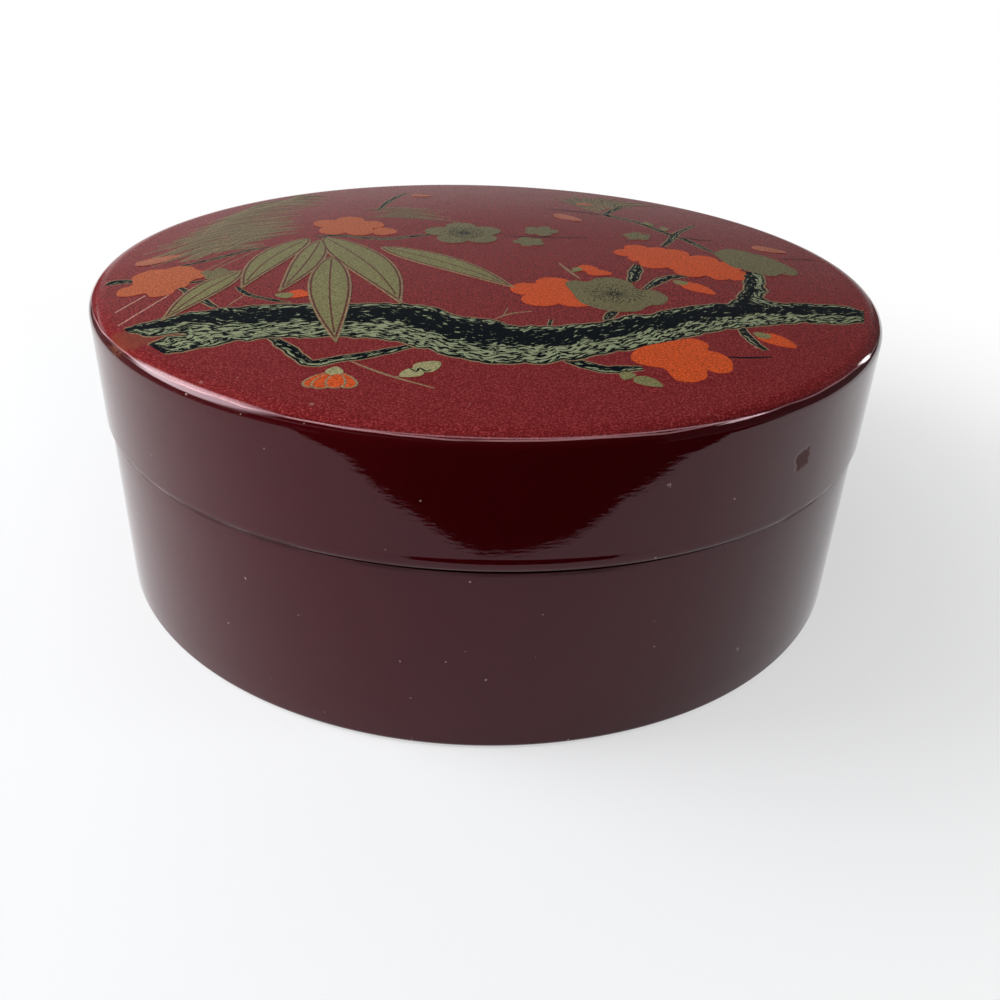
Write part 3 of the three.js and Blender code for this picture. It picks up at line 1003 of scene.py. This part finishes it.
def limb(knots):
    """The edges of a branch from pairs of places on its left and right."""
    path = smooth_path([(*left, *right) for left, right in knots])
    return [(Vector(point[:2]), Vector(point[2:])) for point in path]


def line(half, places):
    """The edges of a line of one width, thinner at both ends."""
    last = len(places) - 1
    knots = [(x, y, half * (0.5 if i in (0, last) else 1)) for i, (x, y) in enumerate(places)]
    return edges_of(smooth_path(knots))


def sway(place):
    """How far an edge drawn by hand strays there, as a share."""
    return noise.fractal(Vector((place.x / EDGE_WANDER, place.y / EDGE_WANDER, 3)), 1, 2, 3)


class Paint:
    """Thin closed shapes of paint on the lid's top, gathered into one mesh."""

    def __init__(self, thickness):
        self.mesh = bmesh.new()
        self.run = self.mesh.loops.layers.uv.new("run")
        self.band = self.mesh.loops.layers.uv.new("band")
        self.thickness = thickness
        self.shapes = 0

    def height(self, layer):
        """The top of the next shape in a layer."""
        self.shapes += 1
        return LID_TOP + (layer + self.shapes * SHAPE_RISE) * self.thickness

    def shape(self, outline, layer, finish):
        """A flat shape with a given outline."""
        level = self.height(layer)
        low = [self.mesh.verts.new((x * MM, y * MM, LID_TOP)) for x, y in outline]
        high = [self.mesh.verts.new((x * MM, y * MM, level)) for x, y in outline]
        faces = [self.mesh.faces.new(high), self.mesh.faces.new(low[::-1])]
        for i in range(len(outline)):
            faces.append(self.mesh.faces.new((low[i - 1], low[i], high[i], high[i - 1])))
        for face in faces:
            face.material_index = finish

    def stroke(self, edges, layer, finish, grow=0, ragged=0, flank=1):
        """A stroke between two edges, wider by a growth on each side, with edges that wander.

        Its far edge lies at a share of a branch's flank.
        """
        rows = []
        length = 0
        for i, (left, right) in enumerate(edges):
            middle, half = (left + right) / 2, (left - right).length / 2
            length += (middle - (edges[i - 1][0] + edges[i - 1][1]) / 2).length if i else 0
            side = (left - right).normalized()
            reach = [max(LEAST_HALF, half + grow + ragged * sway(place)) for place in (left, right)]
            rows.append((length, half, middle + side * reach[0], middle - side * reach[1]))
        self.strip(rows, layer, finish, flank)

    def strip(self, rows, layer, finish, flank):
        """The closed solid of a stroke, with its length and width kept for the brush marks."""
        high, low = self.height(layer), LID_TOP
        corners = []
        for _, _, left, right in rows:
            ring = ((left, high), (right, high), (right, low), (left, low))
            corners.append([self.mesh.verts.new((place.x * MM, place.y * MM, z)) for place, z in ring])
        for i in range(len(rows) - 1):
            for side in range(4):
                after = (side + 1) % 4
                quad = (corners[i][side], corners[i][after], corners[i + 1][after], corners[i + 1][side])
                face = self.mesh.faces.new(quad)
                face.material_index = finish
                if side == 0:
                    self.mark(face, rows[i], rows[i + 1], flank)
        for ring in (corners[0][::-1], corners[-1]):
            self.mesh.faces.new(ring).material_index = finish

    def mark(self, face, before, after, flank):
        """Writes how far along and across the stroke each corner of a face lies."""
        for loop, (row, share) in zip(face.loops, ((before, 1), (before, 0), (after, 0), (after, 1))):
            loop[self.run].uv = (row[0] * MM, 2 * row[1] * share * MM)
            loop[self.band].uv = (row[0] * MM, share * flank)

    def blossom(self, x, y, radius, turn, layer, finish):
        """Round petals about a middle, drawn as one outline."""
        reach, petal = 0.6 * radius, 0.4 * radius
        outline = []
        for number in range(PETALS):
            for step in range(PETAL_STEPS):
                lean = (step / PETAL_STEPS - 0.5) * 2 * pi / PETALS
                away = reach * cos(lean) + sqrt(max(0, petal**2 - (reach * sin(lean)) ** 2))
                angle = radians(turn) + 2 * pi * number / PETALS + lean
                away *= 1 + 0.03 * noise.noise(Vector((x + 2 * cos(angle), y + 2 * sin(angle), 0)))
                outline.append((x + away * cos(angle), y + away * sin(angle)))
        self.shape(outline, layer, finish)

    def drop(self, x, y, length, width, tip, layer, finish, grow=0):
        """A bud with a round end and a pointed one."""
        turn = radians(tip)
        outline = []
        for step in range(BUD_STEPS):
            t = 2 * pi * step / BUD_STEPS
            ahead = (length / 2 + grow) * cos(t)
            aside = (width / 2 + grow) * sin(t) * (1 - 0.35 * cos(t))
            right = x + ahead * cos(turn) - aside * sin(turn)
            up = y + ahead * sin(turn) + aside * cos(turn)
            outline.append((right, up))
        self.shape(outline, layer, finish)

    def piece(self, name, materials):
        """Makes the object and lets it ride on the lid."""
        bmesh.ops.recalc_face_normals(self.mesh, faces=self.mesh.faces)
        piece = finished(name, self.mesh, materials, smooth=False)
        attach(piece, "lid")
        return piece


class TRINKET_OT_branches(bpy.types.Operator):
    """Paint the plum branch, its twigs and the fine lines"""

    bl_idname = "trinket.branches"
    bl_label = "Plum branch"

    def execute(self, context):
        sizes, colours, _ = settings()
        outline = sizes.outline / MM
        pale, black, bark, light = range(4)
        materials = [*inks(colours, "pale", "black"), shared("dry_brushed_gold", bark_ink, colours)]
        materials += inks(colours, "light")
        twigs = Paint(sizes.paint)
        for half, places in TWIGS:
            edges = line(half, places)
            twigs.stroke(edges, TWIG_LAYER, pale, grow=min(0.8 * outline, 0.4 * half), ragged=0.25)
            twigs.stroke(edges, TWIG_LAYER + 1, black, ragged=0.25)
            twigs.stroke(edges, TWIG_LAYER + 2, bark, grow=-0.3, ragged=0.35)
        for ink, lines in ((light, LIGHT_LINES), (pale, FINE_LINES), (black, DARK_LINES)):
            for half, places in lines:
                twigs.stroke(line(half, places), TWIG_LAYER, ink)
        twigs.piece("painted_twigs", materials)
        branch = Paint(sizes.paint)
        for knots, flank in ((FORK, 0.3), (BRANCH, 1), (RISER, 1)):
            edges = limb(knots)
            branch.stroke(edges, BRANCH_LAYER, pale, grow=outline, ragged=0.7)
            branch.stroke(edges, BRANCH_LAYER + 1, black, ragged=0.7)
            branch.stroke(edges, BRANCH_LAYER + 2, bark, grow=-0.4, ragged=0.9, flank=flank)
        branch.piece("painted_branch", materials)
        return {"FINISHED"}


class TRINKET_OT_bamboo(bpy.types.Operator):
    """Paint the bamboo leaves"""

    bl_idname = "trinket.bamboo"
    bl_label = "Bamboo leaves"

    def execute(self, context):
        sizes, colours, _ = settings()
        outline = sizes.outline / MM
        pale, brown, gold = range(3)
        leaves = Paint(sizes.paint)
        for stalk, tip, width, bow in LEAVES:
            points = self.spine(Vector(stalk), Vector(tip), width, bow)
            edges = edges_of(points)
            leaves.stroke(edges, LEAF_LAYER, pale)
            leaves.stroke(edges, LEAF_LAYER + 1, brown, grow=-outline)
            leaves.stroke(edges[1:-1], LEAF_LAYER + 2, gold, grow=-outline - BROWN_LINE)
            rib = edges_of([(x, y, RIB_HALF) for x, y, _ in points[RIB_START:-RIB_END]])
            leaves.stroke(rib, LEAF_LAYER + 3, brown)
        leaves.piece("painted_bamboo", inks(colours, "pale", "brown", "gold"))
        return {"FINISHED"}

    def spine(self, stalk, tip, width, bow):
        """The bowed middle line of a leaf, with its half width: broad near the stalk, long at the tip."""
        span = tip - stalk
        side = Vector((-span.y, span.x)).normalized()
        steps = ceil(span.length / STROKE_STEP)
        points = []
        for step in range(steps + 1):
            t = step / steps
            place = stalk + span * t + side * bow * sin(pi * t)
            points.append((place.x, place.y, width / 2 * sin(pi * t**0.72) ** 0.9))
        return points


class TRINKET_OT_plums(bpy.types.Operator):
    """Paint the plum blossoms and the buds"""

    bl_idname = "trinket.plums"
    bl_label = "Plum blossoms"

    def execute(self, context):
        sizes, colours, _ = settings()
        outline = sizes.outline / MM
        pale, gold, worn, fresh, black, vermilion, sheened, rose = range(8)
        materials = inks(colours, "pale", "gold", "worn_gold", "fresh_gold", "black")
        materials += inks(colours, "vermilion", "faded_vermilion", "rose")
        golden = Paint(sizes.paint)
        for plum in GOLD_PLUMS:
            golden.blossom(*plum, GOLD_LAYER, worn)
        for knots in GOLD_OUTLINES:
            golden.shape(closed_path(knots), GOLD_LAYER, worn)
        for x, y, radius in STAMENS:
            self.stamens(golden, x, y, radius, black)
        for ink, buds in ((fresh, GOLD_BUDS), (gold, CALYXES)):
            for bud in buds:
                golden.drop(*bud, GOLD_LAYER, ink)
        golden.stroke(line(CREASE_HALF, CREASE), GOLD_LAYER + 1, black)
        golden.piece("painted_gold_plums", materials)
        orange = Paint(sizes.paint)
        # The paler inks, for blossoms and buds behind and at the sides, carry a painted reflection sheen
        groups = (
            (vermilion, ORANGE_PLUMS, ORANGE_OUTLINES, ORANGE_BUDS),
            (sheened, SHEENED_PLUMS, SHEENED_OUTLINES, SHEENED_BUDS),
            (rose, (), (), ROSY_BUDS),
        )
        for ink, plums, outlines, buds in groups:
            for plum in plums:
                orange.blossom(*plum, VERMILION_LAYER + 1, ink)
            for knots in outlines:
                orange.shape(closed_path(knots), VERMILION_LAYER + 1, ink)
            for bud in buds:
                orange.drop(*bud, VERMILION_LAYER + 1, ink)
        for number, petal in enumerate(OPENING_BUD):
            orange.drop(*petal, VERMILION_LAYER + number, pale, grow=outline)
            orange.drop(*petal, VERMILION_LAYER + number + 0.5, vermilion)
        orange.drop(*OPENING_CALYX, VERMILION_LAYER + 5, fresh)
        orange.piece("painted_orange_plums", materials)
        return {"FINISHED"}

    def stamens(self, paint, x, y, radius, finish):
        """Fine threads from the middle of a blossom, with a scatter of dots round them."""
        for number in range(THREADS):
            angle = 2 * pi * number / THREADS
            start, end = 0.05 * radius, (0.26 + 0.14 * (number % 3) / 2) * radius
            ends = [(x + reach * cos(angle), y + reach * sin(angle), THREAD_HALF) for reach in (start, end)]
            paint.stroke(edges_of(ends), GOLD_LAYER + 1, finish)
        for number in range(DOTS):
            angle = number * DOT_TURN
            reach = (0.36 + 0.26 * (number * 0.37 % 1)) * radius
            place = (x + reach * cos(angle), y + reach * sin(angle))
            paint.drop(*place, DOT_LENGTH, DOT_WIDTH, degrees(angle), GOLD_LAYER + 1, finish)


class TRINKET_OT_pine(bpy.types.Operator):
    """Paint the tufts of pine needles"""

    bl_idname = "trinket.pine"
    bl_label = "Pine needles"

    def execute(self, context):
        sizes, colours, _ = settings()
        pine, pale = range(2)
        needles = Paint(sizes.paint)
        for roots, tips, count in PINE_TUFTS:
            roots, tips = smooth_path(roots), smooth_path(tips)
            for number in range(count):
                blade = self.needle(roots, tips, number, count)
                needles.stroke(edges_of(blade), PINE_LAYER, pine, ragged=0.15)
                ridge = [(x, y + 0.8 * half, NEEDLE_RIDGE) for x, y, half in blade]
                needles.stroke(edges_of(ridge), PINE_LAYER + 0.5, pale)
        needles.piece("painted_pine", inks(colours, "pine", "pale"))
        return {"FINISHED"}

    def needle(self, roots, tips, number, count):
        """The middle line of one needle of a tuft, with its half width. No two are quite alike."""
        share = number / (count - 1)
        uneven, other = (noise.noise(Vector((number * 1.7, count, side))) for side in (0.3, 7.3))
        root = along(roots, share + 0.05 * uneven)
        tip = along(tips, share + 0.07 * other)
        start = root.lerp(tip, 0.2 * (number * 0.414 % 1))
        end = root.lerp(tip, 1 - 0.24 * (number * 0.618 % 1))
        middle = root.lerp(tip, 0.5) + NEEDLE_BOW + NEEDLE_STRAY * uneven
        return smooth_path([(*start, 0.14), (*middle, NEEDLE_HALF + 0.3 * other), (*end, 0.08)])


# Studio. Soft lamps: place, width and height
KEY_LAMP = ((-0.33, -0.03, 0.225), 0.36, 0.32)
TOP_LAMP = ((0.06, -0.105, 0.27), 0.8, 0.05)
SIDE_LAMP = ((0.32, -0.085, 0.255), 0.13, 0.06)
FAR_LAMP = ((0.555, 0.36, 0.17), 0.08, 0.18)
TOP_LAMP_TURN = radians(8)

# Flags that only reflections show. One is laid in front of the box, and this is its edge towards the box
FLAG_FOOT = 0.4 * MM
FLAG_FAR = -0.6
LAID_SIDE = 0.5
LAID_EDGE = (
    (-LAID_SIDE, -0.34),
    (-0.2, -0.2),
    (-0.11, -0.132),
    (-0.03, -0.1215),
    (0, -0.112),
    (0.035, -0.1112),
    (0.06, -0.1138),
    (0.12, -0.101),
    (LAID_SIDE, -0.06),
)
STOOD_FLAGS = (  # name, both upper corners, and the name of the cloth
    ("front_flag", (-1.2, FLAG_FAR, 0.5), (1.2, FLAG_FAR, 0.5), "black_velvet"),
    ("left_flag", (-0.24, -0.3, 0.085), (-0.24, 0.13, 0.09), "grey_felt"),
    ("back_left_flag", (-0.24, 0.13, 0.09), (-0.62, 1.05, 0.3), "grey_felt"),
    ("right_flag", (0.62, FLAG_FAR, 0.5), (0.62, 1, 0.5), "grey_felt"),
)
CLOTHS = {"black_velvet": 0, "grey_felt": 0.3}  # how much light each gives back

# The paper on the floor, and the backdrop's upper edge
FLOOR_REACH = 4
FLOOR_SUNK = -0.05 * MM
BACKDROP_LOW = radians(5)
BACKDROP_HIGH = radians(14)
SENSOR_WIDTH = 36  # of the camera, in millimetres


def card(name, corners, material):
    """A flat card of the studio."""
    mesh = bmesh.new()
    mesh.faces.new([mesh.verts.new(corner) for corner in corners])
    piece = finished(name, mesh, [material], smooth=False)
    return piece


def soft_lamp(name, place, width, height, target, power, turn=0):
    """A soft box that faces a target, turned about that line, and fades from its middle to its edge."""
    lamp = bpy.data.lights.new(name, "AREA")
    lamp.shape = "RECTANGLE"
    lamp.size = width
    lamp.size_y = height
    lamp.energy = power
    lamp.use_nodes = True
    tree = lamp.node_tree
    tree.nodes.clear()
    spot = add_node(tree, "ShaderNodeNewGeometry").outputs["Parametric"]
    away = vectors(tree, "DISTANCE", spot, (0.5, 0.5, 0))["Value"]
    fade = ramp(tree, away, 0.5, 0.25, smooth=True)
    light = add_node(tree, "ShaderNodeEmission", {"Strength": fade})
    add_node(tree, "ShaderNodeOutputLight", {"Surface": light.outputs[0]})
    stand = bpy.data.objects.new(name, lamp)
    stand.location = place
    stand.visible_camera = False
    aim = (Vector(target) - Vector(place)).to_track_quat("-Z", "Y")
    stand.rotation_euler = (aim @ Quaternion((0, 0, 1), turn)).to_euler()
    bpy.context.scene.collection.objects.link(stand)


class TRINKET_OT_stage(bpy.types.Operator):
    """Set up the floor, the lamps and the camera"""

    bl_idname = "trinket.stage"
    bl_label = "Stage"

    def execute(self, context):
        _, _, studio = settings()
        self.floor(studio)
        self.flags()
        middle = (0, 0, LID_TOP / 2)
        below = (*TOP_LAMP[0][:2], 0)
        soft_lamp("key_lamp", *KEY_LAMP, middle, studio.key_power)
        soft_lamp("top_lamp", *TOP_LAMP, below, studio.top_power, turn=TOP_LAMP_TURN)
        soft_lamp("side_lamp", *SIDE_LAMP, middle, studio.side_power)
        soft_lamp("far_lamp", *FAR_LAMP, middle, studio.far_power)
        self.room(studio)
        self.camera(studio)
        context.scene.view_settings.view_transform = "Standard"
        return {"FINISHED"}

    def floor(self, studio):
        """A wide sheet of paper that fills the view."""
        ways = ((-1, -1), (1, -1), (1, 1), (-1, 1))
        corners = [(x * FLOOR_REACH, y * FLOOR_REACH, FLOOR_SUNK) for x, y in ways]
        card("floor", corners, floor_paper(studio))

    def flags(self):
        """Flags round the box, laid and stood out of the picture, that only reflections show."""
        cloths = {name: flag_cloth(name, shade) for name, shade in CLOTHS.items()}
        outline = (*LAID_EDGE, (LAID_SIDE, FLAG_FAR), (-LAID_SIDE, FLAG_FAR))
        laid = [(x, y, FLAG_FOOT) for x, y in outline]
        cards = [card("laid_flag", laid, cloths["black_velvet"])]
        for name, first, last, cloth in STOOD_FLAGS:
            corners = ((*first[:2], FLAG_FOOT), (*last[:2], FLAG_FOOT), last, first)
            cards.append(card(name, corners, cloths[cloth]))
        for flag in cards:
            flag.visible_camera = False
            flag.visible_diffuse = False
            flag.visible_shadow = False

    def room(self, studio):
        """Even light for the box, and a white backdrop with a dim room above it.

        The backdrop is low behind the box, a little taller at the left, and tall in front.
        """
        world = bpy.data.worlds.new("studio_room")
        world.use_nodes = True
        bpy.context.scene.world = world
        tree = world.node_tree
        tree.nodes.clear()
        way = add_node(tree, "ShaderNodeTexCoord").outputs["Generated"]
        right, back, _ = add_node(tree, "ShaderNodeSeparateXYZ", {0: way}).outputs
        lean = vectors(tree, "DOT_PRODUCT", way, (0.09, 0, 1))["Value"]
        rise = reckon(tree, "MULTIPLY_ADD", reckon(tree, "MINIMUM", back, 0), 0.6, lean)
        backdrop = ramp(tree, rise, sin(BACKDROP_LOW), sin(BACKDROP_HIGH), 1, 0.02, smooth=True)
        sides = ramp(tree, right, -0.45, 0.45, 1.8, 0.55)
        even = reckon(tree, "MULTIPLY", sides, studio.room)
        strength = between(tree, seen_directly(tree), even, backdrop)
        light = add_node(tree, "ShaderNodeBackground", {"Strength": strength, "Color": (1, 1, 1, 1)})
        add_node(tree, "ShaderNodeOutputWorld", {"Surface": light.outputs[0]})

    def camera(self, studio):
        """The photograph's view: from the front, above the lid, a little tilted."""
        lens = bpy.data.cameras.new("camera")
        lens.sensor_fit = "HORIZONTAL"
        lens.sensor_width = SENSOR_WIDTH
        lens.lens = studio.lens
        lens.clip_start = 10 * MM
        camera = bpy.data.objects.new("camera", lens)
        turn = Matrix.Rotation(-studio.camera_yaw, 4, "Z")
        tilt = Matrix.Rotation(pi / 2 - studio.camera_pitch, 4, "X")
        roll = Matrix.Rotation(studio.camera_roll, 4, "Z")
        place = Matrix.Translation((0, -studio.camera_back, studio.camera_height))
        camera.matrix_world = place @ turn @ tilt @ roll
        bpy.context.scene.collection.objects.link(camera)
        bpy.context.scene.camera = camera


class TRINKET_PT_panel(bpy.types.Panel):
    """Lists the steps and the settings of the trinket box"""

    bl_label = "Trinket Box"
    bl_idname = "TRINKET_PT_panel"
    bl_space_type = "VIEW_3D"
    bl_region_type = "UI"
    bl_category = "Trinket Box"

    def draw(self, context):
        for operator in OPERATORS:
            self.layout.operator(operator.bl_idname)
        for group in settings():
            box = self.layout.box()
            for name in group.__annotations__:
                box.prop(group, name)


OPERATORS = (
    TRINKET_OT_lid,
    TRINKET_OT_base,
    TRINKET_OT_neck,
    TRINKET_OT_branches,
    TRINKET_OT_bamboo,
    TRINKET_OT_plums,
    TRINKET_OT_pine,
    TRINKET_OT_stage,
)
GROUPS = {"trinket_sizes": TrinketSizes, "trinket_colours": TrinketColours, "trinket_studio": TrinketStudio}


def register():
    for group in GROUPS.values():
        bpy.utils.register_class(group)
    for name, group in GROUPS.items():
        setattr(bpy.types.Scene, name, PointerProperty(type=group))
    for operator in OPERATORS:
        bpy.utils.register_class(operator)
    bpy.utils.register_class(TRINKET_PT_panel)


def unregister():
    bpy.utils.unregister_class(TRINKET_PT_panel)
    for operator in reversed(OPERATORS):
        bpy.utils.unregister_class(operator)
    for name, group in GROUPS.items():
        delattr(bpy.types.Scene, name)
        bpy.utils.unregister_class(group)


def main():
    register()
    bpy.ops.trinket.lid()
    bpy.ops.trinket.base()
    bpy.ops.trinket.neck()
    bpy.ops.trinket.branches()
    bpy.ops.trinket.bamboo()
    bpy.ops.trinket.plums()
    bpy.ops.trinket.pine()
    bpy.ops.trinket.stage()


if __name__ == "__main__":
    main()
